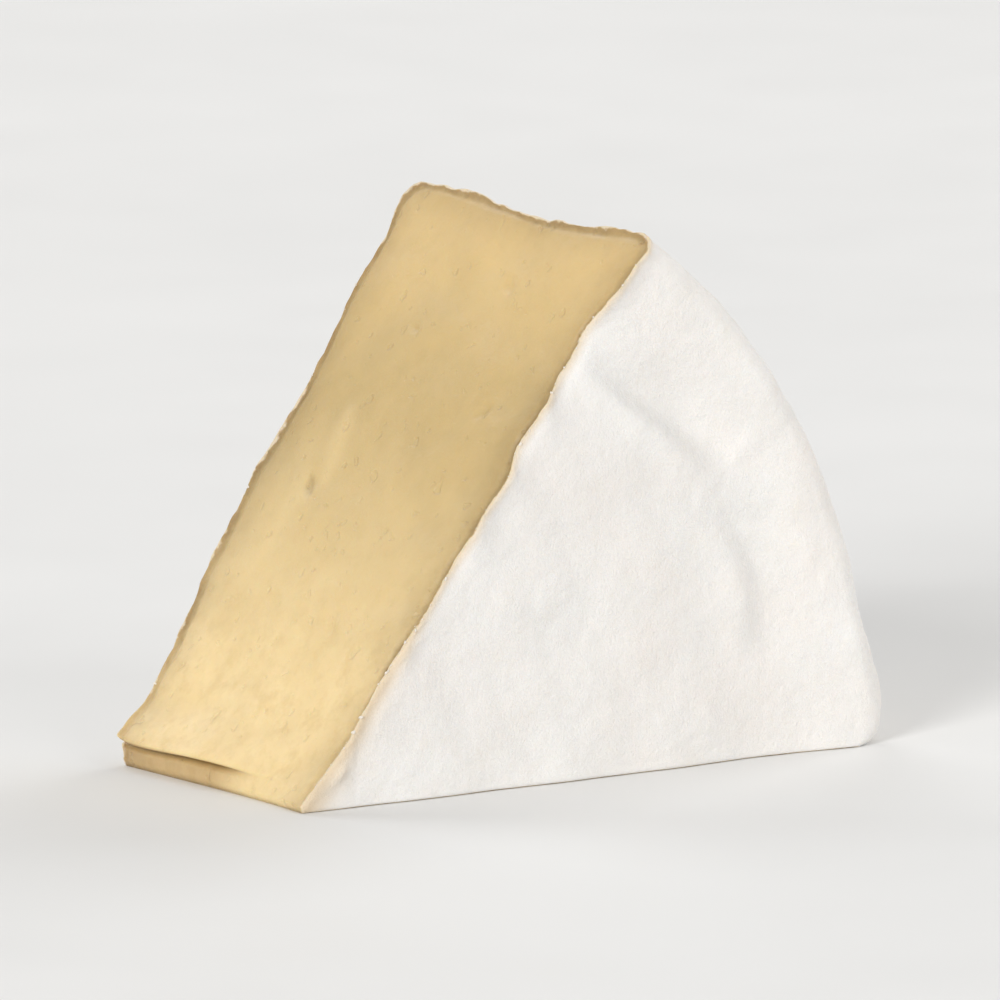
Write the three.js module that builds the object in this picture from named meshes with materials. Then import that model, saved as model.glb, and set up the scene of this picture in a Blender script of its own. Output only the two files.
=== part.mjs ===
// A wedge of a small soft-ripened brie, standing on one of its two cut faces.
//
// It is one solid. The point of the wedge, once the middle of the wheel, is at -X, and the rind of
// the wheel's side is at +X. The wheel's two flat faces look along -Y (front) and +Y (back). The
// lower cut face lies flat on Z = 0, and the upper one climbs from the point towards +Z. The origin
// is the middle of the footprint's box. All sizes are in millimetres.

import * as THREE from "three";

const DEGREE = Math.PI / 180;
const GOLDEN_ANGLE = 2.4; // radians: waves turned by it never line up

// The wheel of about 227 g that the wedge was cut from. It has sunk in its middle.
const WHEEL_RADIUS = 50.65;
const RIM_THICKNESS = 30.6;
const MIDDLE_THICKNESS = 23.5;
const SINK_POWER = 0.7; // below 1, most of the sinking is close to the middle
const RIM_RISE = 0.6; // how far the faces stand out again along the rim
const RIM_START = 43; // the radius where that begins
const FRONT_ROUNDING = 2; // between the front face and the side
const BACK_ROUNDING = 2.6;
const OPENING = 54 * DEGREE; // between the two cut faces
const TIP_RADIUS = 0.7; // where the blunt point starts

// The side: a shallow groove that its hoop left all round, upright creases, and a foot that spreads
// under the load.
const HOOP_DEPTH = 1; // at the upper cut face, and half as deep elsewhere
const HOOP_MIDDLE = -0.2; // where it is deepest and how wide, as shares of the half thickness
const HOOP_SPREAD = 0.38;
const SIDE_SWELL = 0.3; // at half the way up
const SIDE_LEAN = 0.42; // how far the back edge stands out more than the middle
const SIDE_CREASES = [
  { at: 0.24, slant: 0.03 }, // a share of the way up, and how much it climbs towards the back
  { at: 0.45, slant: -0.02 },
  { at: 0.73, slant: 0.015 },
];
const SIDE_CREASE_DEPTH = 0.35;
const SIDE_CREASE_WIDTH = 0.022; // a share of the way up
const FOOT_SPREAD = 1.2;
const FOOT_MIDDLE = 3.4; // the height of its widest place
const FOOT_HEIGHT = 4;
const FOOT_ROUNDING = 1.5; // at the floor

// The upper cut face swells a little between its edges, and the rind's faces are uneven, most of
// all along their upper cut edges.
const CUT_SWELL = 0.5;
const CUT_RIPPLE = 0.16;
const FACE_RIPPLE = 0.2;
const EDGE_RIPPLE = 0.25;
const FRONT_SINK = 0.3; // the front's hollow, outside half the radius
const FRONT_SINK_RADIUS = 40;
const FRONT_SINK_SPREAD = 6;
const BACK_SWELL = 1; // the back's bulge, round a radius, longer towards the point
const BACK_SWELL_RADIUS = 23.5;
const BACK_SWELL_INNER = 12;
const BACK_SWELL_OUTER = 7;
const RIPPLE_WAVES = 6;
const LONGEST_RIPPLE = 15;
const RIPPLE_RATIO = 0.78; // from each wave to the next shorter one
const FRONT_SEED = 0.4;
const BACK_SEED = 4.7;
const CUT_SEED = 5.1;

// The soft point has sagged: the upper cut face flares out into a lip that hangs over a low upright
// ledge. The lip is full at the back, and has run out at LIP_END, as a share of the half thickness.
const LIP_REACH = 1.5;
const LIP_TOP = 5.5; // the height where the flare starts
const LIP_RADIUS = 9; // no part of the lip is further than this from the point
const LIP_FULL_RADIUS = 4;
const LIP_END = -0.5;
const LIP_FULL = 0.3;
const LEDGE_HEIGHT = 1.75;
const LEDGE_INSET = 0.45; // how far it stands back from the point

// Folds that the wrapping pressed into the two flat faces: a furrow along a bent line, with a low
// ridge on the line's right as it runs. Each point is [distance from the point, height].
const RIDGE_OFFSET = 1.5; // times the fold's width
const RIDGE_SHARE = 0.7; // of the furrow's depth
const FRONT_FOLDS = [
  { from: [24.3, 31.4], bend: [31.8, 26.3], to: [37.1, 21.7], depth: 0.6, width: 1.3 },
  { from: [34.8, 18.8], bend: [42, 17.5], to: [40, 3], depth: 0.5, width: 1.3 },
  { from: [37.6, 20.6], bend: [40.5, 18], to: [46.5, 16.4], depth: 0.4, width: 1 },
];
const BACK_FOLDS = [
  { from: [36.5, 22], bend: [42, 15], to: [41.5, 3], depth: 0.6, width: 1.2 },
  { from: [26.5, 32.5], bend: [33.5, 27.5], to: [36.5, 22], depth: 0.5, width: 1.1 },
  { from: [31, 15.5], bend: [40, 10.5], to: [47, 10.5], depth: 0.45, width: 1 },
  { from: [34.5, 34.5], bend: [31, 31], to: [29.5, 24], depth: 0.4, width: 1 },
];
const FOLD_STEPS = 12; // straight pieces that a fold's line is measured along

// The skin's grid. Ring n round the point has n + 1 columns, so that all cells are alike in size.
const RINGS = 42;
const LAYERS = 18;
const RING_CROWDING = 0.05; // rings are closer together near the point and the side
const LAYER_CROWDING = 0.15; // layers are closer together near the flat faces

const CHEESE = { color: 0xf1e8d3, roughness: 0.75, metalness: 0 };

const { clamp, smoothstep } = THREE.MathUtils;

// A smooth hump: 1 at zero, and nearly 0 beyond twice the width.
function hump(distance, width) {
  return Math.exp(-((distance / width) ** 2));
}

// An uneven height over a face, seldom beyond -1 and 1. Each face has its own seed.
function ripple(a, b, seed) {
  let height = 0;
  for (let wave = 0; wave < RIPPLE_WAVES; wave++) {
    const direction = GOLDEN_ANGLE * (wave + seed);
    const along = a * Math.cos(direction) + b * Math.sin(direction);
    const share = RIPPLE_RATIO ** wave;
    height += 0.5 * share * Math.sin((2 * Math.PI * along) / (LONGEST_RIPPLE * share) + wave * seed);
  }
  return height;
}

// Half the wheel's thickness at a distance from its middle.
function halfThickness(radius) {
  const share = clamp(radius / WHEEL_RADIUS, 0, 1);
  return (MIDDLE_THICKNESS + (RIM_THICKNESS - MIDDLE_THICKNESS) * share ** SINK_POWER) / 2;
}

// The wheel's cross section: the place of a grid point, with the corners at the rim rounded.
function sectionPoint(ring, across) {
  const crowded = ring - RING_CROWDING * Math.sin(2 * Math.PI * ring);
  let radius = TIP_RADIUS + (WHEEL_RADIUS - TIP_RADIUS) * crowded;
  let y = halfThickness(radius) * (across + LAYER_CROWDING * Math.sin(Math.PI * across));

  // In the corner's square, each point moves towards the square's inner corner, so that the outer
  // two sides become a quarter circle.
  const rounding = across < 0 ? FRONT_ROUNDING : BACK_ROUNDING;
  const out = (radius - (WHEEL_RADIUS - rounding)) / rounding;
  const up = (Math.abs(y) - (halfThickness(radius) - rounding)) / rounding;
  if (out > 0 && up > 0) {
    const drawnIn = 1 - Math.max(out, up) / Math.hypot(out, up);
    radius -= rounding * out * drawnIn;
    y -= Math.sign(y) * rounding * up * drawnIn;
  }
  return { radius, y };
}

// The height that one fold gives to a place on its face.
function foldHeight(fold, place) {
  let nearest = { distance: Infinity };
  for (let step = 0; step < FOLD_STEPS; step++) {
    const start = fold.line[step];
    const along = fold.line[step + 1].clone().sub(start);
    const offset = place.clone().sub(start);
    const share = clamp(offset.dot(along) / along.lengthSq(), 0, 1);
    const distance = offset.clone().addScaledVector(along, -share).length();
    if (distance < nearest.distance) {
      const side = -Math.sign(along.cross(offset)); // 1 on the right
      nearest = { distance, side, run: (step + share) / FOLD_STEPS };
    }
  }
  const furrow = hump(nearest.distance, fold.width);
  const ridge = hump(nearest.side * nearest.distance - RIDGE_OFFSET * fold.width, fold.width);
  const fade = Math.sqrt(Math.max(0, Math.sin(Math.PI * nearest.run)));
  return fold.depth * (RIDGE_SHARE * ridge - furrow) * fade;
}

// Gives each fold the points of its line.
function withLines(folds) {
  return folds.map((fold) => {
    const [from, bend, to] = [fold.from, fold.bend, fold.to].map((p) => new THREE.Vector2(...p));
    const line = new THREE.QuadraticBezierCurve(from, bend, to).getPoints(FOLD_STEPS);
    return { ...fold, line };
  });
}

const frontFolds = withLines(FRONT_FOLDS);
const backFolds = withLines(BACK_FOLDS);

// How far a flat face stands out at a place on it.
function faceRelief(place, radius, turn, isFront) {
  const edge = EDGE_RIPPLE * smoothstep(turn, 0.85, 1) * smoothstep(radius, 2, 12);
  let relief = (FACE_RIPPLE + edge) * ripple(place.x, place.y, isFront ? FRONT_SEED : BACK_SEED);
  for (const fold of isFront ? frontFolds : backFolds) relief += foldHeight(fold, place);
  relief += RIM_RISE * smoothstep(radius, RIM_START, WHEEL_RADIUS);
  if (isFront) return relief - FRONT_SINK * hump(radius - FRONT_SINK_RADIUS, FRONT_SINK_SPREAD);
  const spread = radius < BACK_SWELL_RADIUS ? BACK_SWELL_INNER : BACK_SWELL_OUTER;
  return relief + BACK_SWELL * hump(radius - BACK_SWELL_RADIUS, spread);
}

// How far the side stands out.
function sideRelief(turn, across, height) {
  const hoopDepth = HOOP_DEPTH * (0.5 + 0.5 * smoothstep(turn, 0.6, 1));
  let relief = SIDE_LEAN * across - hoopDepth * hump(across - HOOP_MIDDLE, HOOP_SPREAD);
  relief += SIDE_SWELL * Math.sin(Math.PI * turn);
  for (const crease of SIDE_CREASES) {
    const line = hump(turn - crease.at - crease.slant * across, SIDE_CREASE_WIDTH);
    relief -= SIDE_CREASE_DEPTH * line * (1 - across ** 4);
  }
  relief += FOOT_SPREAD * hump(height - FOOT_MIDDLE, FOOT_HEIGHT);
  const drop = Math.max(0, 1 - height / FOOT_ROUNDING);
  return relief - FOOT_ROUNDING * (1 - Math.sqrt(1 - drop ** 2));
}

// How far the upper cut face stands out.
function cutRelief(radius, across, y) {
  const swell = CUT_SWELL * Math.cos((across * Math.PI) / 2) * smoothstep(radius, 2, 20);
  return swell + CUT_RIPPLE * ripple(radius, y, CUT_SEED) * smoothstep(radius, 2, 8);
}

// How far the point has sagged along -X, at a height above the lower cut face.
function lipRelief(radius, height, across) {
  const flare = LIP_REACH * (1 - smoothstep(height, LEDGE_HEIGHT, LIP_TOP));
  const ledge = Math.max(0, height / Math.tan(OPENING) - LEDGE_INSET);
  const nearPoint = 1 - smoothstep(radius, LIP_FULL_RADIUS, LIP_RADIUS);
  return (height > LEDGE_HEIGHT ? flare : ledge) * smoothstep(across, LIP_END, LIP_FULL) * nearPoint;
}

// A point of the wedge. ring is 0 at the point and 1 at the side, turn is 0 on the lower cut face
// and 1 on the upper one, and across is -1 on the front face and 1 on the back.
function wedgePoint(ring, turn, across) {
  const { radius, y } = sectionPoint(ring, across);
  const angle = OPENING * turn;
  const outward = new THREE.Vector2(Math.cos(angle), Math.sin(angle)); // from the point to the side
  const cutNormal = new THREE.Vector2(-outward.y, outward.x);
  const place = outward.clone().multiplyScalar(radius);

  const nearFace = smoothstep(Math.abs(across), 0.5, 1);
  const faceOut = nearFace * faceRelief(place, radius, turn, across < 0);
  const sideOut = ring ** 4 * sideRelief(turn, across, place.y);
  const cutOut = smoothstep(turn, 0.5, 1) * cutRelief(radius, across, y);
  const lipOut = lipRelief(radius, place.y, across);

  place.addScaledVector(outward, sideOut).addScaledVector(cutNormal, cutOut);
  if (turn === 0) place.y = 0; // it stands on this face
  return new THREE.Vector3(place.x - lipOut, y + Math.sign(across) * faceOut, place.y);
}

// The wedge's closed skin: its two flat faces, its two cut faces, its side and its blunt point.
function wedgeSkin() {
  const positions = [];
  const triangles = [];
  const numbers = new Map();

  function vertex(ring, column, layer) {
    const key = `${ring} ${column} ${layer}`;
    if (!numbers.has(key)) {
      const across = (2 * layer) / LAYERS - 1;
      const point = wedgePoint((ring - 1) / (RINGS - 1), column / ring, across);
      numbers.set(key, numbers.size);
      positions.push(...point.toArray());
    }
    return numbers.get(key);
  }

  function triangle(a, b, c, reversed) {
    triangles.push(...(reversed ? [a, c, b] : [a, b, c]).map((corner) => vertex(...corner)));
  }

  function cell(a, b, c, d, reversed) {
    triangle(a, b, c, reversed);
    triangle(a, c, d, reversed);
  }

  for (const layer of [0, LAYERS]) {
    const isBack = layer > 0;
    for (let ring = 1; ring < RINGS; ring++) {
      for (let column = 0; column <= ring; column++) {
        const here = [ring, column, layer];
        const ahead = [ring + 1, column + 1, layer];
        triangle(here, [ring + 1, column, layer], ahead, isBack);
        if (column < ring) triangle(here, ahead, [ring, column + 1, layer], isBack);
      }
    }
  }
  for (let layer = 0; layer < LAYERS; layer++) {
    const next = layer + 1;
    for (let ring = 1; ring < RINGS; ring++) {
      const on = ring + 1;
      cell([ring, 0, layer], [on, 0, layer], [on, 0, next], [ring, 0, next], true);
      cell([ring, ring, layer], [on, on, layer], [on, on, next], [ring, ring, next], false);
    }
    for (let column = 0; column < RINGS; column++) {
      const on = column + 1;
      cell([RINGS, column, layer], [RINGS, on, layer], [RINGS, on, next], [RINGS, column, next], true);
    }
    cell([1, 0, layer], [1, 1, layer], [1, 1, next], [1, 0, next], false);
  }

  const geometry = new THREE.BufferGeometry();
  geometry.setAttribute("position", new THREE.Float32BufferAttribute(positions, 3));
  geometry.setIndex(triangles);
  geometry.computeBoundingBox();
  const middle = geometry.boundingBox.getCenter(new THREE.Vector3());
  geometry.translate(-middle.x, -middle.y, 0);
  geometry.computeVertexNormals();
  return geometry;
}

const wedge = new THREE.Mesh(wedgeSkin(), new THREE.MeshStandardMaterial(CHEESE));
wedge.name = "brie_wedge";

const part = new THREE.Group();
part.add(wedge);

export default part;
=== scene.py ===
# The looks of a wedge of small soft-ripened brie, standing on one of its two cut faces.
#
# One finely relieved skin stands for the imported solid: the white bloomed rind of the two flat faces
# and of the side, and the golden paste of the cut faces. A second piece holds the crumbs of rind
# that the knife left along the upper cut. The shape is worked out in millimetres, from the wheel's
# middle: x towards the side, y through the thickness, z up.

import math

import bmesh
import bpy
import numpy as np
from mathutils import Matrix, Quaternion, Vector


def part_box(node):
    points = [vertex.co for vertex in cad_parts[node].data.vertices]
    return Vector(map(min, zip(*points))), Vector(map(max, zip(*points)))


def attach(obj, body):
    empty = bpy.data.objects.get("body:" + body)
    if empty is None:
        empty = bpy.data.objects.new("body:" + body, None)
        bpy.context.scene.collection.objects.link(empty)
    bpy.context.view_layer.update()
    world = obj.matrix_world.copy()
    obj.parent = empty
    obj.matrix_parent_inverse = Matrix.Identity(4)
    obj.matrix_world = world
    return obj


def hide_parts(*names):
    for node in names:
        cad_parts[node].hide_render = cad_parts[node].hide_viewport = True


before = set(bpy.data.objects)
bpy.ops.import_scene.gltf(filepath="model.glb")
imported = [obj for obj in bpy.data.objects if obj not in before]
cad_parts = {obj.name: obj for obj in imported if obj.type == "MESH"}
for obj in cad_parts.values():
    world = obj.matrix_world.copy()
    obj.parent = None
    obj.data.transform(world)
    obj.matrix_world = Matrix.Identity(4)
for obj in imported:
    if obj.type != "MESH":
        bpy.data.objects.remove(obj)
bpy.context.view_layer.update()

MM = 0.001
GOLDEN_ANGLE = 2.4

# The wheel, as the solid has it.
WHEEL_RADIUS = 50.65
RIM_THICKNESS = 30.6
MIDDLE_THICKNESS = 23.5
SINK_POWER = 0.7
RIM_RISE = 0.6
RIM_START = 43
FRONT_ROUNDING = 2
BACK_ROUNDING = 2.6
OPENING = math.radians(54)
TIP_RADIUS = 0.7

# The side.
HOOP_DEPTH = 1
HOOP_MIDDLE = -0.2
HOOP_SPREAD = 0.38
SIDE_SWELL = 0.3
SIDE_LEAN = 0.42
SIDE_CREASES = [(0.24, 0.03), (0.45, -0.02), (0.73, 0.015)]  # a share of the way up, and its slant
SIDE_CREASE_DEPTH = 0.35
SIDE_CREASE_WIDTH = 0.022
FOOT_SPREAD = 1.2
FOOT_MIDDLE = 3.4
FOOT_HEIGHT = 4
FOOT_ROUNDING = 1.5

# The flat faces and the upper cut.
CUT_SWELL = 0.5
CUT_RIPPLE = 0.16
FACE_RIPPLE = 0.12
EDGE_RIPPLE = 0.25
FRONT_SINK = 0.3
FRONT_SINK_RADIUS = 40
FRONT_SINK_SPREAD = 6
BACK_SWELL = 1
BACK_SWELL_RADIUS = 23.5
BACK_SWELL_INNER = 12
BACK_SWELL_OUTER = 7
RIPPLE_WAVES = 6
LONGEST_RIPPLE = 15
RIPPLE_RATIO = 0.78
FRONT_SEED = 0.4
BACK_SEED = 4.7
CUT_SEED = 5.1

# The lip at the point, over its low upright ledge.
LIP_REACH = 1.5
LIP_TOP = 5.5
LIP_RADIUS = 9
LIP_FULL_RADIUS = 4
LIP_END = -0.5
LIP_FULL = 0.3
LEDGE_HEIGHT = 1.75
LEDGE_INSET = 0.45

# The folds in the flat faces, each from, bend and to as (distance from the point, height), then its
# depth, and its width at both ends. They are steeper on the outer side than the solid's.
FURROW_INNER = 1.5
FURROW_OUTER = 0.8
RIDGE_OFFSET = 1.4
RIDGE_SHARE = 0.6
RIDGE_INNER = 0.8
RIDGE_OUTER = 0.8
INNER_RIDGE_OFFSET = 2.6
INNER_RIDGE_SHARE = 0.16
FOLD_LATENESS = 1.2  # above 1, a fold is deepest past its middle
FOLD_FULLNESS = 0.8  # the smaller, the more suddenly its ends begin
FOLD_STEPS = 24
FRONT_FOLDS = [
    ((24.2, 31.7), (31.3, 27.3), (37.9, 23.1), 0.74, 1, 1.8),
    ((34.6, 20), (41.5, 18.2), (40.6, 7.5), 0.42, 1.9, 1.7),
    ((38.6, 18.9), (41.6, 17.8), (48.5, 15.6), 0.22, 0.9, 0.9),
]
BACK_FOLDS = [
    ((36.5, 22), (42, 15), (41.5, 3), 0.36, 1.8, 1.4),
    ((26.5, 32.5), (33.5, 27.5), (36, 23.5), 0.4, 1.1, 1.9),
    ((42.6, 11), (44.5, 10.2), (48, 10.5), 0.24, 1.2, 1),
    ((30.4, 26.6), (29.8, 23), (27, 19.5), 0.26, 1.5, 1.2),
]

# The fine skin's grid, closest along the edges.
RINGS = 180
LAYERS = 112
RING_CROWDING = 0.06
COLUMN_CROWDING = 0.06
LAYER_CROWDING = 0.21

# What only the fine skin has, from the rind that the knife tore to the marks on the paste.
EDGE_ROUNDING = 0.3
EDGE_ROOM = 0.45  # the most of a narrow cut's width that its rounding takes up
FLOOR_CLEARANCE = 1.2  # the fine relief grows to its full height over this much above the floor
RIND_STRIP = 0.19  # how much of the rind shows on the cut
RIND_LIP = 0.14  # how far its torn edge stands above the cut
GROOVE_DEPTH = 0.16  # the paste has shrunk a little beside the rind
GROOVE_MIDDLE = 0.6
GROOVE_WIDTH = 0.3
# Size, reach and width of the torn edge's wandering. Its outer points are blunter than its notches.
FRAYS = [(3.3, 0.34, 0.9), (1.2, 0.12, 0.5), (0.45, 0.05, 0.3)]
FRAY_LIMIT = 0.5
FRAY_GAIN = 1.6
BACK_FRAY = 0.6  # how much of it the back edge has
BLOOM_BUMPS = [(3.4, 0.06), (1.3, 0.035), (0.55, 0.02)]  # size and height of the rind's bumps
WRAP_SIZE = 7  # the mesh of faint lines that the wrapping left
WRAP_DEPTH = 0.07
WRINKLE_SIZE = 2.4  # the side's wrinkles, which run across it
WRINKLE_LENGTH = 3
WRINKLE_DEPTH = 0.16
PASTE_BUMPS = [(5, 0.11), (1.8, 0.05), (0.5, 0.014)]
DRAG_DEPTH = 0.03  # the lines that the knife dragged through the thickness
DRAG_SIZE = 0.9
DRAG_LENGTH = 11
DRAG_SLANT = 0.12
# The eyes in the paste, as (distance from the point, across, size, depth).
EYES = [
    (14.6, -4.1, 0.34, 0.28),
    (33.7, -7.9, 0.42, 0.32),
    (38.9, 4.6, 0.3, 0.26),
    (44.2, -3.2, 0.5, 0.3),
]
EYE_LENGTH = 1.5  # how much longer an eye is than it is wide
EYE_BRIM = 0.06  # the height of its raised brim, as a share of its depth
# The two marks on the upper cut, each from and to as (distance from the point, across), then its
# width and height.
NICK = ((24.2, 6.4), (25.5, 7.2), 0.5, -0.24)
SCRAPE = ((25.6, 5.3), (31, 7), 1.2, 0.08)
# The crease under the lip.
CREASE_HEIGHT = 1.68
CREASE_CLIMB = 0.15  # how much higher it is at the back face than in the middle
CREASE_DEPTH = 0.65
CREASE_WIDTH = 0.2
CREASE_END = -0.24
CREASE_FULL = 0.04
# The lip and its ledge waver up and down across the point.
WAVER_HEIGHT = 0.13
WAVER_WAVES = 7
WAVER_START = 0.6
# The front corner of the point, pressed out over the base.
TOE_REACH = 0.6
TOE_HEIGHT = 4.5
TOE_RADIUS = 8
# The bead of rind that stands beside the upper cut, close to the point.
BEAD_RADIUS = 4.2
BEAD_INSET = 1
BEAD_SIZE = (0.5, 0.8)
BEAD_HEIGHT = 0.3
# The crumbs of rind along both edges of the upper cut.
CRUMB_COUNT = 70
CRUMB_BUMP_HEIGHT = 0.45  # as a share of the crumb's size
CRUMB_RINGS = (0.04, 0.97)  # from near the point to near the side
CRUMB_FRONT_SHARE = 0.6
CRUMB_INSET = 0.075  # how far in from the edge the farthest lies, as a share of the half thickness
CRUMB_LEAST = 0.06
CRUMB_SPREAD = 0.16
CRUMB_FLATNESS = ([0.7, 0.5, 0.3], [1.3, 0.9, 0.6])  # least and most of a crumb's three sizes
CRUMB_CREAM = 0.4  # how cream-coloured they are

# The cream colour of the rind beside the upper cut, and how much wider and stronger it is at the point.
CREAM_WIDTH = 0.7
CREAM_POINT_WIDTH = 0.9
CREAM_STRENGTH = 0.75
CREAM_POINT_STRENGTH = 0.2
CREAM_POINT_RADII = (7, 22)

# The seed of each kind of random bump. Each kind also takes the few numbers after its own.
BLOOM_SEED = 10
WRAP_SEED = 20
WRINKLE_SEED = 25
PASTE_SEED = 30
DRAG_SEED = 34
MARK_SEED = 36
FRAY_SEED = 40
TORN_SEED = 45
CRUMB_BUMP_SEED = 50
CRUMB_SEED = 7  # of the crumbs' places and sizes


def hump(distance, width):
    """1 at zero, and nearly 0 beyond twice the width."""
    return np.exp(-((distance / width) ** 2))


def smoothstep(value, low, high):
    share = np.clip((value - low) / (high - low), 0, 1)
    return share * share * (3 - 2 * share)


def ripple(a, b, seed):
    """An uneven height over a face, seldom beyond -1 and 1."""
    height = 0
    for wave in range(RIPPLE_WAVES):
        direction = GOLDEN_ANGLE * (wave + seed)
        along = a * math.cos(direction) + b * math.sin(direction)
        share = RIPPLE_RATIO**wave
        phase = 2 * math.pi * along / (LONGEST_RIPPLE * share) + wave * seed
        height = height + 0.5 * share * np.sin(phase)
    return height


def noise(points, size, seed):
    """Smooth random bumps of this size, between -1 and 1."""
    random = np.random.default_rng(seed)
    heights = random.uniform(-1, 1, 256)
    order = random.permutation(256)
    cell = np.floor(points / size).astype(int)
    share = points / size - cell
    share = share * share * (3 - 2 * share)
    total = np.zeros(len(points))
    for corner in np.ndindex(2, 2, 2):
        x, y, z = ((cell + corner) % 256).T
        height = heights[order[(order[(order[x] + y) % 256] + z) % 256]]
        total += height * np.prod(np.where(corner, share, 1 - share), axis=1)
    return total


def half_thickness(radius):
    share = np.clip(radius / WHEEL_RADIUS, 0, 1)
    return (MIDDLE_THICKNESS + (RIM_THICKNESS - MIDDLE_THICKNESS) * share**SINK_POWER) / 2


def round_corner(first, second, rounding):
    """Distances from two faces that meet, moved so that the corner is a quarter circle."""
    a = np.clip(1 - first / rounding, 0, 1)
    b = np.clip(1 - second / rounding, 0, 1)
    inside = (a > 0) & (b > 0)
    scale = np.maximum(a, b) / np.where(inside, np.hypot(a, b), 1)
    new_first = np.where(inside, rounding * (1 - a * scale), first)
    new_second = np.where(inside, rounding * (1 - b * scale), second)
    return new_first, new_second


def section_points(ring, across):
    """The wheel's cross section: distance from the middle, and place through the thickness."""
    crowded = ring - RING_CROWDING * np.sin(2 * math.pi * ring)
    radius = TIP_RADIUS + (WHEEL_RADIUS - TIP_RADIUS) * crowded
    half = half_thickness(radius)
    y = half * (across + LAYER_CROWDING * np.sin(math.pi * across))
    rounding = np.where(across < 0, FRONT_ROUNDING, BACK_ROUNDING)
    from_side, from_face = round_corner(WHEEL_RADIUS - radius, half - np.abs(y), rounding)
    return WHEEL_RADIUS - from_side, np.sign(y) * (half - from_face)


def fold_heights(fold, x, z):
    """The height that one fold gives to the places x, z of its face."""
    start, bend, end, depth, width, end_width = (np.array(part, dtype=float) for part in fold)
    share = np.linspace(0, 1, FOLD_STEPS + 1)[:, None]
    line = (1 - share) ** 2 * start + 2 * share * (1 - share) * bend + share**2 * end
    nearest = np.full(x.shape, np.inf)
    side = np.zeros(x.shape)
    run = np.zeros(x.shape)
    for step in range(FOLD_STEPS):
        along = line[step + 1] - line[step]
        dx, dz = x - line[step][0], z - line[step][1]
        part = np.clip((dx * along[0] + dz * along[1]) / (along @ along), 0, 1)
        distance = np.hypot(dx - part * along[0], dz - part * along[1])
        closer = distance < nearest
        nearest = np.where(closer, distance, nearest)
        side = np.where(closer, -np.sign(along[0] * dz - along[1] * dx), side)
        run = np.where(closer, (step + part) / FOLD_STEPS, run)
    width = width + (end_width - width) * run
    outwards = side * nearest
    furrow = hump(nearest, np.where(outwards > 0, FURROW_OUTER, FURROW_INNER) * width)
    past_ridge = outwards - RIDGE_OFFSET * width
    ridge = RIDGE_SHARE * hump(past_ridge, np.where(past_ridge > 0, RIDGE_OUTER, RIDGE_INNER) * width)
    ridge += INNER_RIDGE_SHARE * hump(outwards + INNER_RIDGE_OFFSET * width, width)
    fade = np.clip(np.sin(math.pi * run**FOLD_LATENESS), 0, None) ** FOLD_FULLNESS
    return depth * (ridge - furrow) * fade


def face_relief(x, z, radius, turn, is_front):
    """How far a flat face stands out."""
    edge = EDGE_RIPPLE * smoothstep(turn, 0.85, 1) * smoothstep(radius, 2, 12)
    relief = (FACE_RIPPLE + edge) * ripple(x, z, FRONT_SEED if is_front else BACK_SEED)
    for fold in FRONT_FOLDS if is_front else BACK_FOLDS:
        relief += fold_heights(fold, x, z)
    relief += RIM_RISE * smoothstep(radius, RIM_START, WHEEL_RADIUS)
    if is_front:
        return relief - FRONT_SINK * hump(radius - FRONT_SINK_RADIUS, FRONT_SINK_SPREAD)
    spread = np.where(radius < BACK_SWELL_RADIUS, BACK_SWELL_INNER, BACK_SWELL_OUTER)
    return relief + BACK_SWELL * hump(radius - BACK_SWELL_RADIUS, spread)


def side_relief(turn, across, height):
    """How far the side stands out."""
    hoop_depth = HOOP_DEPTH * (0.5 + 0.5 * smoothstep(turn, 0.6, 1))
    relief = SIDE_LEAN * across - hoop_depth * hump(across - HOOP_MIDDLE, HOOP_SPREAD)
    relief += SIDE_SWELL * np.sin(math.pi * turn)
    for at, slant in SIDE_CREASES:
        line = hump(turn - at - slant * across, SIDE_CREASE_WIDTH)
        relief -= SIDE_CREASE_DEPTH * line * (1 - across**4)
    relief += FOOT_SPREAD * hump(height - FOOT_MIDDLE, FOOT_HEIGHT)
    drop = np.clip(1 - height / FOOT_ROUNDING, 0, 1)
    return relief - FOOT_ROUNDING * (1 - np.sqrt(1 - drop**2))


def cut_relief(radius, across, y):
    """How far the upper cut stands out."""
    swell = CUT_SWELL * np.cos(across * math.pi / 2) * smoothstep(radius, 2, 20)
    return swell + CUT_RIPPLE * ripple(radius, y, CUT_SEED) * smoothstep(radius, 2, 8)


def lip_relief(radius, height, across):
    """How far the point has sagged along -x."""
    flare = LIP_REACH * (1 - smoothstep(height, LEDGE_HEIGHT, LIP_TOP))
    ledge = np.clip(height / math.tan(OPENING) - LEDGE_INSET, 0, None)
    near_point = 1 - smoothstep(radius, LIP_FULL_RADIUS, LIP_RADIUS)
    relief = np.where(height > LEDGE_HEIGHT, flare, ledge)
    return relief * smoothstep(across, LIP_END, LIP_FULL) * near_point


def crease_values(height, across):
    """How much a place near the point is in the crease under the lip, and on the ledge below it."""
    above = height - CREASE_HEIGHT - CREASE_CLIMB * across
    strength = smoothstep(across, CREASE_END, CREASE_FULL)
    return hump(above, CREASE_WIDTH) * strength, (1 - smoothstep(above, -0.2, 0.1)) * strength


def crease_relief(height, across):
    """How deep the crease under the lip is, along +x."""
    return CREASE_DEPTH * crease_values(height, across)[0]


def rind_distance(radius, y):
    """How deep a place in the wheel's cross section lies under the rind's outer surface."""
    from_face = half_thickness(radius) - np.abs(y)
    from_side = WHEEL_RADIUS - radius
    rounding = np.where(y < 0, FRONT_ROUNDING, BACK_ROUNDING)
    a = np.clip(rounding - from_face, 0, None)
    b = np.clip(rounding - from_side, 0, None)
    in_corner = (a > 0) & (b > 0)
    distance = np.where(in_corner, rounding - np.hypot(a, b), np.minimum(from_face, from_side))
    return np.clip(distance, 0, None)


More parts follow.
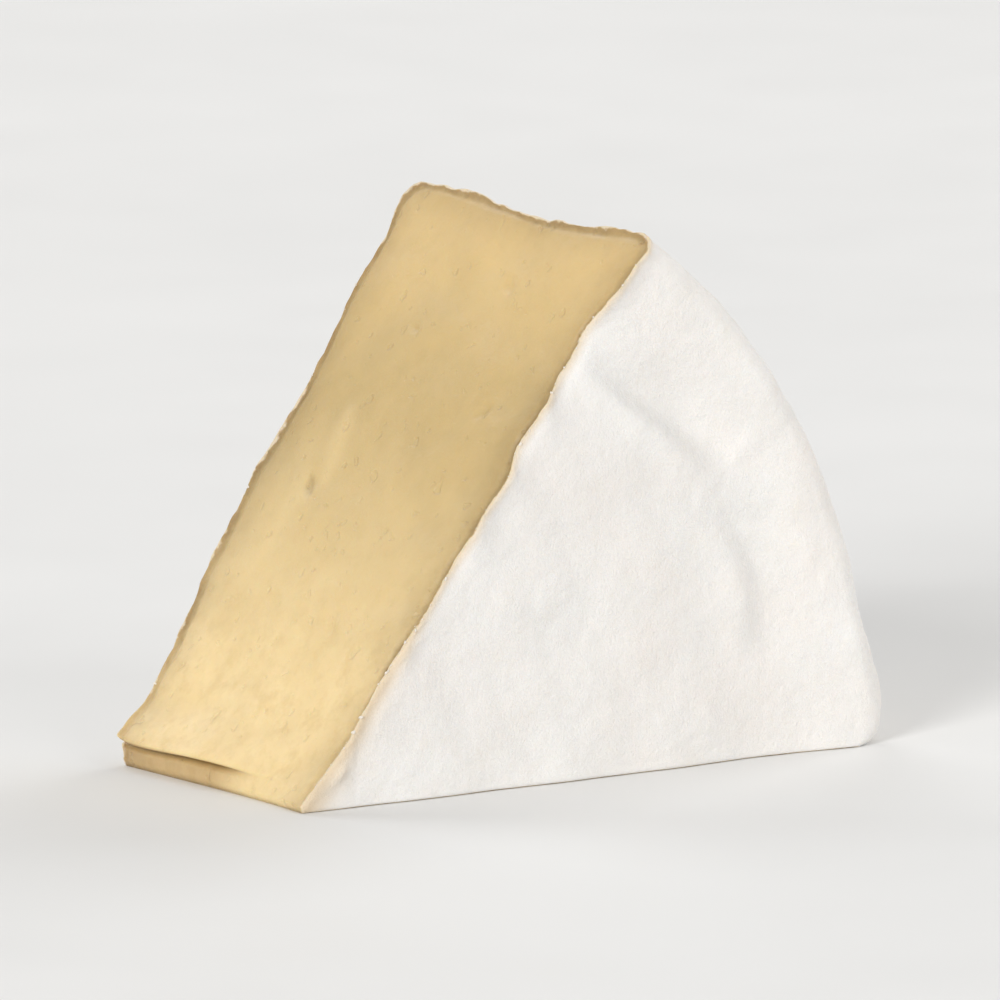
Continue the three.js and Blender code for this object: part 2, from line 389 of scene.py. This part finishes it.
def lumps(points, sizes, seed):
    """The height of bumps of several sizes at once."""
    return sum(tall * noise(points, size, seed + n) for n, (size, tall) in enumerate(sizes))


def bend(points, reach, size, seed):
    """Places that bumps of this size shift to and fro."""
    return points + reach * np.stack([noise(points, size, seed + n) for n in range(3)], axis=1)


def thin_lines(points, size, seed, sharpness):
    """1 along a mesh of random lines, and less away from them."""
    return (1 - np.abs(noise(points, size, seed))) ** sharpness


def side_wrinkles(points):
    """The depth of the side's wrinkles."""
    bent = bend(points, 1.2, 3, WRINKLE_SEED) / [1, WRINKLE_LENGTH, 1]
    lines = thin_lines(bent, WRINKLE_SIZE, WRINKLE_SEED + 3, 5)
    return WRINKLE_DEPTH * lines * (0.6 + 0.4 * noise(points, 8, WRINKLE_SEED + 4))


def rind_bumps(points):
    """The fine relief of the bloomed rind."""
    lines = thin_lines(bend(points, 1.5, 4, WRAP_SEED), WRAP_SIZE, WRAP_SEED + 3, 9)
    return lumps(points, BLOOM_BUMPS, BLOOM_SEED) - WRAP_DEPTH * lines


def mark_share(mark, radius, y):
    """How much a place on the upper cut is in one of its marks, from 0 to 1."""
    start, end, width, _ = (np.array(part, dtype=float) for part in mark)
    along = end - start
    share = ((radius - start[0]) * along[0] + (y - start[1]) * along[1]) / (along @ along)
    share = np.clip(share, 0, 1)
    distance = np.hypot(radius - start[0] - share * along[0], y - start[1] - share * along[1])
    return hump(distance, width * (0.55 + 0.45 * np.sin(math.pi * share)))


def paste_bumps(points, radius, y, depth):
    """The fine relief of a cut face: soft lumps, drag lines, a few eyes and the marks."""
    height = lumps(points, PASTE_BUMPS, PASTE_SEED)
    slanted = np.stack([(radius + DRAG_SLANT * y) / DRAG_SIZE, y / DRAG_LENGTH, 0 * y], axis=1)
    patches = 0.5 + 0.5 * noise(points, 7, DRAG_SEED + 1)
    height += DRAG_DEPTH * noise(slanted, 1, DRAG_SEED) * patches
    uneven = 1 + 0.4 * noise(points, 0.7, MARK_SEED)
    for number, (eye_radius, eye_y, size, eye_depth) in enumerate(EYES):
        turned = GOLDEN_ANGLE * number
        a, b = radius - eye_radius, y - eye_y
        longer = a * math.cos(turned) + b * math.sin(turned)
        shorter = b * math.cos(turned) - a * math.sin(turned)
        distance = np.hypot(longer / EYE_LENGTH, shorter) * uneven
        brim = hump(distance - 1.7 * size, 0.5 * size)
        height += eye_depth * (EYE_BRIM * brim - np.exp(-((distance / size) ** 3)))
    for mark in (NICK, SCRAPE):
        height += mark[3] * mark_share(mark, radius, y) * uneven
    return height - GROOVE_DEPTH * hump(depth - GROOVE_MIDDLE, GROOVE_WIDTH)


def frayed_edge(points, from_edge):
    """How far the torn edge of the rind stands out beside a place on the flat face or the side."""
    total = np.zeros(len(points))
    for number, (size, reach, width) in enumerate(FRAYS):
        wander = np.clip(noise(points, size, FRAY_SEED + number) * FRAY_GAIN, -1, FRAY_LIMIT)
        total = total + reach * wander * hump(from_edge, width)
    return total


def bead(x, z, from_edge):
    """The height of the bead beside the upper cut."""
    from_middle = np.hypot(x, z)
    away = np.hypot((from_edge - BEAD_INSET) / BEAD_SIZE[0], (from_middle - BEAD_RADIUS) / BEAD_SIZE[1])
    return BEAD_HEIGHT * hump(away, 1)


def round_knife_edges(radius, y, angle):
    """The edges that the knife made, a little rounded: from a cut to a flat face, and to the side."""
    half = half_thickness(radius)
    arc = radius * OPENING
    room = np.minimum(EDGE_ROUNDING, EDGE_ROOM * arc)
    for lower in (True, False):
        from_cut = radius * angle if lower else arc - radius * angle
        from_face, new_cut = round_corner(half - np.abs(y), from_cut, room)
        y = np.sign(y) * (half - from_face)
        from_side, new_cut = round_corner(WHEEL_RADIUS - radius, new_cut, room)
        radius = WHEEL_RADIUS - from_side
        move = (new_cut - from_cut) / np.maximum(radius, TIP_RADIUS)
        angle = angle + move if lower else angle - move
    return radius, y, angle


def fine_relief(at, ring, turn, across, radius, depth, from_edge):
    """The fine skin's own relief: of the flat faces, the side, the upper cut and the point."""
    x, y, z = at.T
    is_front = across < 0
    off_floor = smoothstep(z, 0, FLOOR_CLEARANCE)
    on_face = smoothstep(np.abs(across), 0.9, 1)
    on_side = smoothstep(ring, 0.98, 1)
    on_cut = smoothstep(turn, 1 - 0.6 / (1 + radius), 1)

    bumps = rind_bumps(at) * off_floor
    fray = frayed_edge(at, from_edge) * off_floor * np.where(is_front, 1, BACK_FRAY)
    face_out = on_face * bumps + smoothstep(np.abs(across), 0.72, 1) * fray
    face_out += np.where(is_front, on_face * bead(x, z, from_edge), 0)
    side_out = on_side * (1 - 0.3 * on_face) * (bumps + fray)
    side_out -= on_side * (1 - on_face) * side_wrinkles(at) * off_floor

    torn = 0.6 + 0.6 * noise(at, 0.9, TORN_SEED) + 0.4 * noise(at, 3.1, TORN_SEED + 1)
    lip = RIND_LIP * np.clip(torn, 0, None) * (1 - smoothstep(depth, RIND_STRIP, 2 * RIND_STRIP))
    cut_out = on_cut * (lip + paste_bumps(at, radius, y, depth)) * off_floor

    crease = smoothstep(turn, 0.5, 1) * crease_relief(z, across) * (radius < LIP_FULL_RADIUS)
    toe = TOE_REACH * (1 - smoothstep(z, 0, TOE_HEIGHT)) * (1 - smoothstep(radius, 2, TOE_RADIUS))
    return face_out, side_out, cut_out, toe * smoothstep(-across, 0, 1) - crease


def waver(z, turn, across):
    """How much higher the lip and its ledge lie at a place across the point."""
    wave = np.sin(WAVER_WAVES * across + WAVER_START) * smoothstep(across, LIP_END, LIP_FULL)
    return WAVER_HEIGHT * wave * hump(z - LEDGE_HEIGHT, 1) * smoothstep(turn, 0.5, 1)


def wedge_points(ring, turn, across, fine=True):
    """The skin's points in millimetres, and how deep each lies under the rind's surface."""
    section_radius, y = section_points(ring, across)
    depth = rind_distance(section_radius, y)
    turn = turn - COLUMN_CROWDING * np.sin(2 * math.pi * turn)
    radius, y, angle = round_knife_edges(section_radius, y, OPENING * turn)
    outward = np.stack([np.cos(angle), np.sin(angle)])
    cut_normal = np.stack([-np.sin(angle), np.cos(angle)])
    x, z = radius * outward

    near_face = smoothstep(np.abs(across), 0.5, 1)
    is_front = across < 0
    face_out = near_face * np.where(
        is_front,
        face_relief(x, z, radius, turn, True),
        face_relief(x, z, radius, turn, False),
    )
    side_out = ring**4 * side_relief(turn, across, z)
    cut_out = smoothstep(turn, 0.5, 1) * cut_relief(radius, across, y)
    lip_out = lip_relief(radius, z, across)

    if fine:
        from_edge = section_radius * OPENING * (1 - turn)
        at = np.stack([x, y, z], axis=1)
        added = fine_relief(at, ring, turn, across, radius, depth, from_edge)
        face_out, side_out, cut_out, lip_out = map(np.add, (face_out, side_out, cut_out, lip_out), added)
        z = z + waver(z, turn, across)

    x = x + side_out * outward[0] + cut_out * cut_normal[0] - lip_out
    z = z + side_out * outward[1] + cut_out * cut_normal[1]
    z = np.where(turn == 0, np.where(depth < EDGE_ROUNDING, np.clip(z, 0, None), 0), z)
    y = y + np.where(is_front, -1, 1) * face_out
    return np.stack([x, y, z], axis=1), depth


def corner(ring, column, layer):
    return np.stack(np.broadcast_arrays(ring, column, layer), axis=-1)


def two_triangles(a, b, c, d, is_reversed):
    """Each four-cornered cell as two triangles."""
    triangles = np.concatenate([np.stack([a, b, c], axis=-2), np.stack([a, c, d], axis=-2)])
    return triangles[:, ::-1] if is_reversed else triangles


def flat_face(layer, is_reversed):
    ring, column = np.array([(r, c) for r in range(1, RINGS) for c in range(r + 1)]).T
    ahead = corner(ring + 1, column + 1, layer)
    outer = np.stack([corner(ring, column, layer), corner(ring + 1, column, layer), ahead], axis=-2)
    r, c = ring[column < ring], column[column < ring]
    inner = [corner(r, c, layer), corner(r + 1, c + 1, layer), corner(r, c + 1, layer)]
    triangles = np.concatenate([outer, np.stack(inner, axis=-2)])
    return triangles[:, ::-1] if is_reversed else triangles


def strip(ring, column, next_ring, next_column, layer, is_reversed):
    """The cells between two lines of corners that run through the thickness, from layer to layer."""
    a, b = corner(ring, column, layer), corner(next_ring, next_column, layer)
    c, d = corner(next_ring, next_column, layer + 1), corner(ring, column, layer + 1)
    return two_triangles(a, b, c, d, is_reversed)


def skin_triangles():
    """Every triangle as three (ring, column, layer) corners, and whether it is on the paste."""
    ring, layer = (a.ravel() for a in np.meshgrid(np.arange(1, RINGS), np.arange(LAYERS)))
    column, side_layer = (a.ravel() for a in np.meshgrid(np.arange(RINGS), np.arange(LAYERS)))
    side = strip(RINGS, column, RINGS, column + 1, side_layer, True)
    lower_cut = strip(ring, 0, ring + 1, 0, layer, True)
    upper_cut = strip(ring, ring, ring + 1, ring + 1, layer, False)
    point = strip(1, 0, 1, 1, np.arange(LAYERS), False)
    rind = [flat_face(0, False), flat_face(LAYERS, True), side]
    paste = [lower_cut, upper_cut, point]
    is_paste = np.repeat([False, True], [sum(map(len, rind)), sum(map(len, paste))])
    return np.concatenate(rind + paste), is_paste


def shape_shift():
    """From the wheel's middle to the part's own origin: the solid's box says where it is."""
    ring, turn, across = (a.ravel() for a in np.meshgrid(*[np.linspace(0, 1, 60)] * 3))
    points, _ = wedge_points(ring, turn, 2 * across - 1, fine=False)
    low, high = (np.array(c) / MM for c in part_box("brie_wedge"))
    shift = (low + high) / 2 - (points.min(axis=0) + points.max(axis=0)) / 2
    shift[2] = 0
    return shift


SHIFT = shape_shift()


def mesh_object(name, points, triangles):
    """A smooth-shaded object from points in the shape's millimetres."""
    mesh = bpy.data.meshes.new(name)
    mesh.from_pydata(((points + SHIFT) * MM).tolist(), [], triangles.tolist())
    mesh.polygons.foreach_set("use_smooth", np.ones(len(triangles), dtype=bool))
    mesh.update()
    made = bpy.data.objects.new(name, mesh)
    bpy.context.scene.collection.objects.link(made)
    return made


def point_values(mesh, name, values):
    mesh.attributes.new(name, "FLOAT", "POINT").data.foreach_set("value", values.astype(np.float32))


def make_wedge(rind, paste):
    corners, is_paste = skin_triangles()
    keys = (corners[..., 0] * (RINGS + 1) + corners[..., 1]) * (LAYERS + 1) + corners[..., 2]
    used, numbers = np.unique(keys, return_inverse=True)
    layer = used % (LAYERS + 1)
    column = used // (LAYERS + 1) % (RINGS + 1)
    ring = used // (LAYERS + 1) // (RINGS + 1)
    ring_share = (ring - 1) / (RINGS - 1)
    across = 2 * layer / LAYERS - 1
    points, depth = wedge_points(ring_share, column / ring, across)

    wedge = mesh_object("brie_wedge_skin", points, numbers.reshape(-1, 3))
    mesh = wedge.data
    mesh.materials.append(rind)
    mesh.materials.append(paste)
    mesh.polygons.foreach_set("material_index", is_paste.astype(np.int32))
    point_values(mesh, "rind_depth", depth)
    from_middle = np.hypot(points[:, 0], points[:, 2])
    point_values(mesh, "from_middle", from_middle)
    corner_fade = smoothstep(1 - np.abs(across), 0.04, 0.2)
    point_values(mesh, "on_side", smoothstep(ring_share, 0.985, 1) * corner_fade)
    from_cut = OPENING * from_middle * (1 - column / ring)
    near_point = 1 - smoothstep(from_middle, *CREAM_POINT_RADII)
    cream = CREAM_STRENGTH + CREAM_POINT_STRENGTH * near_point
    cream *= hump(from_cut, CREAM_WIDTH + CREAM_POINT_WIDTH * near_point)
    point_values(mesh, "cream", cream)
    at_point = from_middle < LIP_FULL_RADIUS
    # Where painted shade goes: in the crease under the lip, and on the ledge below it.
    painted_crease_shade, painted_ledge_shade = crease_values(points[:, 2], across)
    point_values(mesh, "painted_crease_shade", painted_crease_shade * at_point)
    point_values(mesh, "painted_ledge_shade", painted_ledge_shade * at_point)
    on_upper_cut = column == ring
    place = section_points(ring_share, across)
    for name, mark in (("nicked", NICK), ("scraped", SCRAPE)):
        point_values(mesh, name, mark_share(mark, *place) * on_upper_cut)
    return wedge


def flake(random, size):
    """One crumb's points round its own middle, and its triangles."""
    shape = bmesh.new()
    bmesh.ops.create_icosphere(shape, subdivisions=2, radius=1)
    points = np.array([v.co for v in shape.verts])
    triangles = np.array([[v.index for v in f.verts] for f in shape.faces])
    shape.free()
    bumps = noise(points + random.uniform(0, 90, 3), 0.8, CRUMB_BUMP_SEED)
    points = points * (1 + CRUMB_BUMP_HEIGHT * bumps)[:, None] * size
    return points * random.uniform(*CRUMB_FLATNESS), triangles


def make_crumbs(rind):
    """Crumbs of rind along both edges of the upper cut, half sunk into it."""
    random = np.random.default_rng(CRUMB_SEED)
    up = np.array([-math.sin(OPENING), 0, math.cos(OPENING)])
    out = np.array([math.cos(OPENING), 0, math.sin(OPENING)])
    side = np.array([0, 1, 0])
    points, triangles, count = [], [], 0
    for _ in range(CRUMB_COUNT):
        ring = random.uniform(*CRUMB_RINGS)
        is_front = random.random() < CRUMB_FRONT_SHARE
        inset = random.uniform(0, 1) ** 2
        across = (-1 if is_front else 1) * (1 - CRUMB_INSET * inset)
        size = (CRUMB_LEAST + CRUMB_SPREAD * random.uniform(0, 1) ** 2) * (1 - 0.4 * inset)
        place, _ = wedge_points(np.array([ring]), np.array([1.0]), np.array([across]))
        shape, faces = flake(random, size)
        spin = random.uniform(0, 2 * math.pi)
        first = math.cos(spin) * out + math.sin(spin) * side
        second = np.cross(up, first)
        points.append(place + shape @ np.array([first, second, up]))
        triangles.append(faces + count)
        count += len(shape)
    crumbs = mesh_object("rind_crumbs", np.concatenate(points), np.concatenate(triangles))
    crumbs.data.materials.append(rind)
    point_values(crumbs.data, "on_side", np.zeros(count))
    point_values(crumbs.data, "cream", np.full(count, CRUMB_CREAM))
    return crumbs


class Shader:
    """A material's node tree, built from sockets, numbers and colours."""

    def __init__(self, name):
        self.material = bpy.data.materials.new(name)
        self.material.use_nodes = True
        self.tree = self.material.node_tree
        self.principled = self.tree.nodes["Principled BSDF"]

    def add(self, kind, inputs, **settings):
        node = self.tree.nodes.new(kind)
        for name, value in settings.items():
            setattr(node, name, value)
        for name, value in inputs.items():
            self.set(node.inputs[name], value)
        return node

    def set(self, socket, value):
        if isinstance(value, bpy.types.NodeSocket):
            self.tree.links.new(value, socket)
        elif isinstance(value, tuple) and len(value) == 3 and socket.type == "RGBA":
            socket.default_value = (*value, 1)
        else:
            socket.default_value = value

    def attribute(self, name):
        return self.add("ShaderNodeAttribute", {}, attribute_name=name).outputs["Fac"]

    def noise(self, size, detail=2.0, roughness=0.5, distortion=0.0):
        """Noise with bumps of this size in millimetres, from 0 to 1."""
        where = self.add("ShaderNodeTexCoord", {}).outputs["Object"]
        inputs = {"Vector": where, "Scale": 1 / (size * MM), "Detail": detail}
        inputs |= {"Roughness": roughness, "Distortion": distortion}
        return self.add("ShaderNodeTexNoise", inputs).outputs["Fac"]

    def times(self, a, b):
        return self.add("ShaderNodeMath", {0: a, 1: b}, operation="MULTIPLY").outputs[0]

    def plus(self, a, b):
        return self.add("ShaderNodeMath", {0: a, 1: b}, operation="ADD").outputs[0]

    def span(self, value, low, high, new_low=0.0, new_high=1.0):
        """A value carried from one range to another, and held at its ends."""
        inputs = {"Value": value, "From Min": low, "From Max": high}
        inputs |= {"To Min": new_low, "To Max": new_high}
        return self.add("ShaderNodeMapRange", inputs).outputs["Result"]

    def uneven(self, new_low, new_high, size, detail=2.0):
        """A value that wanders between two ends, with bumps of this size in millimetres."""
        return self.span(self.noise(size, detail), 0.3, 0.7, new_low, new_high)

    def mix(self, factor, a, b, blend="MIX"):
        node = self.add("ShaderNodeMix", {}, data_type="RGBA", blend_type=blend)
        for socket, value in zip((node.inputs[0], node.inputs[6], node.inputs[7]), (factor, a, b)):
            self.set(socket, value)
        return node.outputs[2]

    def ramp(self, value, stops):
        node = self.add("ShaderNodeValToRGB", {"Fac": value})
        elements = node.color_ramp.elements
        while len(elements) < len(stops):
            elements.new(0.5)
        for element, (position, colour) in zip(elements, stops):
            element.position = position
            element.color = (*colour, 1)
        return node.outputs["Color"]

    def bump(self, height, strength, distance, normal=None):
        inputs = {"Height": height, "Strength": strength, "Distance": distance * MM}
        if normal is not None:
            inputs["Normal"] = normal
        return self.add("ShaderNodeBump", inputs).outputs["Normal"]

    def finished(self, colour, roughness, normal, **constants):
        """The material, once its surface has these sockets and these values all over."""
        surface = self.principled.inputs
        self.set(surface["Base Color"], colour)
        self.set(surface["Roughness"], roughness)
        self.set(surface["Normal"], normal)
        for name, value in constants.items():
            surface[name.replace("_", " ")].default_value = value
        return self.material


RIND_WHITE = (0.875, 0.858, 0.83)
RIND_GREY = (0.815, 0.798, 0.77)
RIND_ROSE = (0.86, 0.82, 0.78)
RIND_THIN = (0.83, 0.78, 0.71)  # where the bloom is thin
RIND_CREAM = (0.72, 0.58, 0.40)
RIND_TAN = (0.72, 0.62, 0.48)
RIND_TORN = (0.66, 0.55, 0.39)  # where it shows on the cut
PASTE_POINT = (0.82, 0.635, 0.335)
PASTE_MIDDLE = (0.53, 0.385, 0.168)
PASTE_OUTER = (0.665, 0.48, 0.218)
PASTE_GROOVE_SHADE = (0.30, 0.20, 0.08)  # painted shade in the groove beside the rind, and in the nick
# Painted shade in the crease under the lip.
PASTE_CREASE_SHADE = (0.32, 0.205, 0.075)
EDGE_SHADE = (0.70, 0.68, 0.66)  # how much darker the paste is close to the rind: riper paste, and partly painted shade where the cut's edges round away
# Painted shade on the ledge under the lip's overhang.
LEDGE_SHADE = (0.68, 0.62, 0.56)
FLOOR_DARK = (0.76, 0.757, 0.747)
FLOOR_LIGHT = (0.78, 0.777, 0.767)

# The paste's colours from the point towards the side, as shares of this distance: partly the paste's own
# ripeness, and partly painted light, the paler point standing for the brighter light on the cut's lower
# part.
PASTE_REACH = 50
PASTE_STOPS = [(0.2, PASTE_POINT), (0.6, PASTE_MIDDLE), (0.72, PASTE_MIDDLE), (0.94, PASTE_OUTER)]
PASTE_WANDER = 3.5
SCRAPE_PALENESS = 0.28
# How strong the painted shade in the nick is.
NICK_SHADE = 0.4
# How the darkening close to the rind, riper paste and partly painted shade, fades, as shares of its
# depth.
SHADE_DEPTH = 5
SHADE_STOPS = [(0.08, 1), (0.32, 0.55), (0.6, 0.22), (1, 0)]
LINE_DEPTHS = (0.4, 0.9)  # the painted shade line in the groove fades out between these depths
LINE_RADII = (4, 12)  # and fades in between these distances from the point
RIND_STRIP_BLUR = 0.06


def rind_material():
    """White bloom with grey and rosy clouds, cream beside the cut, and tan blotches on the side."""
    shader = Shader("Rind")
    clouds = shader.span(shader.noise(11, 3, 0.5, 0.4), 0.35, 0.7)
    blotches = shader.span(shader.noise(4, 4, 0.55), 0.45, 0.75, 0, 0.6)
    specks = shader.span(shader.noise(0.7, 3, 0.6), 0.5, 0.75, 0, 0.5)
    thin = shader.span(shader.noise(2.3, 5, 0.65), 0.55, 0.75, 0, 0.4)
    side_blotches = shader.span(shader.noise(5, 7, 0.68, 0.3), 0.42, 0.62, 0.1, 0.9)
    side_specks = shader.span(shader.noise(0.8, 4, 0.65), 0.35, 0.65, 0.4, 1)
    tan = shader.times(shader.attribute("on_side"), shader.times(side_blotches, side_specks))

    colour = shader.mix(clouds, RIND_WHITE, RIND_ROSE)
    colour = shader.mix(blotches, colour, RIND_GREY)
    colour = shader.mix(specks, colour, RIND_GREY)
    colour = shader.mix(thin, colour, RIND_THIN)
    colour = shader.mix(shader.attribute("cream"), colour, RIND_CREAM)
    colour = shader.mix(tan, colour, RIND_TAN)

    fuzz = shader.bump(shader.noise(0.2, 4, 0.75), 0.6, 0.08)
    return shader.finished(
        colour,
        shader.uneven(0.8, 0.95, 0.8),
        shader.bump(shader.noise(0.8, 4, 0.6), 0.5, 0.15, fuzz),
        Sheen_Weight=0.12,
        Sheen_Roughness=0.5,
        Subsurface_Weight=0.15,
        Subsurface_Radius=(1, 0.8, 0.6),
        Subsurface_Scale=0.5 * MM,
        Specular_IOR_Level=0.3,
    )


def paste_colour(shader, radius):
    """The paste is palest at the point, darkest halfway, and golden towards the side: partly its own
    ripeness, and partly painted light that brightens the lower part near the point.
    """
    wander = shader.span(shader.noise(9, 3, 0.5, 0.5), 0.3, 0.7, -PASTE_WANDER, PASTE_WANDER)
    mottle = shader.span(shader.noise(3.2, 4, 0.6, 0.4), 0.35, 0.7, 0, 0.36)
    streaks = shader.span(shader.noise(1.3, 4, 0.65), 0.5, 0.8, 0, 0.25)
    spots = shader.span(shader.noise(1.7, 3, 0.6), 0.5, 0.7)
    spots = shader.times(spots, shader.span(radius, 8, 28, 0.5, 0))

    colour = shader.ramp(shader.span(shader.plus(radius, wander), 0, PASTE_REACH), PASTE_STOPS)
    colour = shader.mix(mottle, colour, PASTE_OUTER)
    colour = shader.mix(streaks, colour, PASTE_MIDDLE)
    colour = shader.mix(spots, colour, PASTE_OUTER)
    colour = shader.mix(shader.times(shader.attribute("scraped"), SCRAPE_PALENESS), colour, PASTE_POINT)
    # Painted shade in the nick.
    return shader.mix(shader.times(shader.attribute("nicked"), NICK_SHADE), colour, PASTE_GROOVE_SHADE)


def paste_edge(shader, radius, colour):
    """Close to the rind it is darker, partly riper paste and partly painted shade, with a thin line of
    painted shade in the groove, and then comes the rind itself. Painted shade also darkens the ledge and
    the crease under the lip.
    """
    fine = shader.span(shader.noise(0.8, 4, 0.6), 0.3, 0.7, -0.13, 0.13)
    ragged = shader.plus(fine, shader.uneven(-0.14, 0.14, 4))
    depth = shader.plus(shader.attribute("rind_depth"), ragged)

    stops = [(position, (grey, grey, grey)) for position, grey in SHADE_STOPS]
    near_rind = shader.ramp(shader.span(depth, 0, SHADE_DEPTH), stops)
    shade = shader.times(near_rind, shader.uneven(0.7, 1, 2.5, 3))
    line = shader.times(shader.span(depth, *LINE_DEPTHS, 1, 0), shader.span(radius, *LINE_RADII, 0.1, 1))
    line = shader.times(line, shader.span(shader.noise(1.8, 4, 0.6), 0.3, 0.7, 0.35, 1))
    torn = shader.span(depth, RIND_STRIP - RIND_STRIP_BLUR, RIND_STRIP + RIND_STRIP_BLUR, 1, 0)

    # Darker close to the rind: riper paste, and partly painted shade.
    colour = shader.mix(shade, colour, EDGE_SHADE, "MULTIPLY")
    # A thin line of painted shade in the groove beside the rind.
    colour = shader.mix(line, colour, PASTE_GROOVE_SHADE)
    # Painted shade on the ledge and in the crease under the lip.
    colour = shader.mix(shader.attribute("painted_ledge_shade"), colour, LEDGE_SHADE, "MULTIPLY")
    colour = shader.mix(shader.attribute("painted_crease_shade"), colour, PASTE_CREASE_SHADE)
    return shader.mix(torn, colour, RIND_TORN)


def paste_material():
    shader = Shader("Paste")
    radius = shader.attribute("from_middle")
    grain = shader.bump(shader.noise(0.3, 4, 0.7), 0.45, 0.06)
    pits = shader.bump(shader.span(shader.noise(1, 1, 0.4), 0.24, 0.33), 0.6, 0.16, grain)
    return shader.finished(
        paste_edge(shader, radius, paste_colour(shader, radius)),
        shader.uneven(0.42, 0.62, 2.2, 3),
        shader.bump(shader.noise(1.2, 4), 0.45, 0.15, pits),
        Subsurface_Weight=0.3,
        Subsurface_Radius=(1, 0.6, 0.25),
        Subsurface_Scale=1.2 * MM,
        Coat_Weight=0.08,
        Coat_Roughness=0.35,
    )


def floor_material():
    shader = Shader("Floor")
    colour = shader.mix(shader.uneven(0, 1, 60, 3), FLOOR_DARK, FLOOR_LIGHT)
    bumps = shader.bump(shader.noise(1.5, 3), 0.1, 0.05)
    return shader.finished(colour, shader.uneven(0.6, 0.75, 15), bumps)


# The floor, in metres: flat under the object, and from there its rim curves up on every side.
FLOOR_RADIUS = 3
FLOOR_FLAT_RADIUS = 1.6
FLOOR_RIM_HEIGHT = 0.5
FLOOR_RINGS = 60
FLOOR_SPOKES = 96


def make_floor():
    """A round floor with a raised rim, so that a low view meets no edge."""
    spoke, ring = (a.ravel() for a in np.indices((FLOOR_SPOKES, FLOOR_RINGS + 1)))
    radius = FLOOR_RADIUS * ring / FLOOR_RINGS
    angle = 2 * math.pi * spoke / FLOOR_SPOKES
    rise = np.clip((radius - FLOOR_FLAT_RADIUS) / (FLOOR_RADIUS - FLOOR_FLAT_RADIUS), 0, 1)
    height = FLOOR_RIM_HEIGHT * rise**2
    points = np.stack([radius * np.cos(angle), radius * np.sin(angle), height], axis=1)
    cells = []
    for spoke in range(FLOOR_SPOKES):
        here, beside = (n % FLOOR_SPOKES * (FLOOR_RINGS + 1) for n in (spoke, spoke + 1))
        cells += [(here + n, here + n + 1, beside + n + 1, beside + n) for n in range(1, FLOOR_RINGS)]
        cells.append((0, here + 1, beside + 1))
    mesh = bpy.data.meshes.new("floor")
    mesh.from_pydata(points.tolist(), [], cells)
    mesh.polygons.foreach_set("use_smooth", np.ones(len(cells), dtype=bool))
    mesh.materials.append(floor_material())
    floor = bpy.data.objects.new("floor", mesh)
    bpy.context.scene.collection.objects.link(floor)


# Where the camera is, as it saw the wedge: turned to the left of the front face, a little above.
CAMERA_AZIMUTH = math.radians(-35.91)
CAMERA_ELEVATION = math.radians(9.74)
CAMERA_ROLL = math.radians(-0.3)
CAMERA_DISTANCE = 1.228
CAMERA_LENS = 592.7
AIM = Vector((0.0005, -0.0003, 0.019))

# Each light shines evenly on all of the floor: azimuth, elevation and softness in degrees, strength.
LIGHTS = [
    ("key", -66, 24, 22, 1.93),
    ("fill", 20, 30, 36, 0.51),
    ("rim", 100, 30, 28, 0.95),
    ("back", 175, 45, 33, 0.64),
]
LIGHT_DISTANCE = 1
WORLD_COLOUR = (1.0, 0.99, 0.975)
WORLD_STRENGTH = 0.435


def direction(azimuth, elevation):
    """From the object towards a viewer at this azimuth and elevation, in radians."""
    flat = math.cos(elevation)
    return Vector((math.sin(azimuth) * flat, -math.cos(azimuth) * flat, math.sin(elevation)))


def place_looking_at(thing, aim, way, distance, roll=0):
    thing.location = aim + way * distance
    turn = (-way).to_track_quat("-Z", "Y") @ Quaternion((0, 0, 1), roll)
    thing.rotation_euler = turn.to_euler()
    bpy.context.scene.collection.objects.link(thing)


def make_camera():
    data = bpy.data.cameras.new("camera")
    data.lens = CAMERA_LENS
    data.clip_start = 0.01
    camera = bpy.data.objects.new("camera", data)
    way = direction(CAMERA_AZIMUTH, CAMERA_ELEVATION)
    place_looking_at(camera, AIM, way, CAMERA_DISTANCE, CAMERA_ROLL)
    bpy.context.scene.camera = camera


def make_lights():
    for name, azimuth, elevation, softness, strength in LIGHTS:
        data = bpy.data.lights.new(name, "SUN")
        data.angle = math.radians(softness)
        data.energy = strength
        way = direction(math.radians(azimuth), math.radians(elevation))
        place_looking_at(bpy.data.objects.new(name, data), AIM, way, LIGHT_DISTANCE)
    world = bpy.data.worlds.new("studio")
    world.use_nodes = True
    background = world.node_tree.nodes["Background"]
    background.inputs["Color"].default_value = (*WORLD_COLOUR, 1)
    background.inputs["Strength"].default_value = WORLD_STRENGTH
    bpy.context.scene.world = world
    bpy.context.scene.view_settings.view_transform = "Standard"


make_camera()
make_lights()
make_floor()

rind = rind_material()
wedge = make_wedge(rind, paste_material())
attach(wedge, "root")
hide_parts("brie_wedge")

crumbs = make_crumbs(rind)
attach(crumbs, "root")
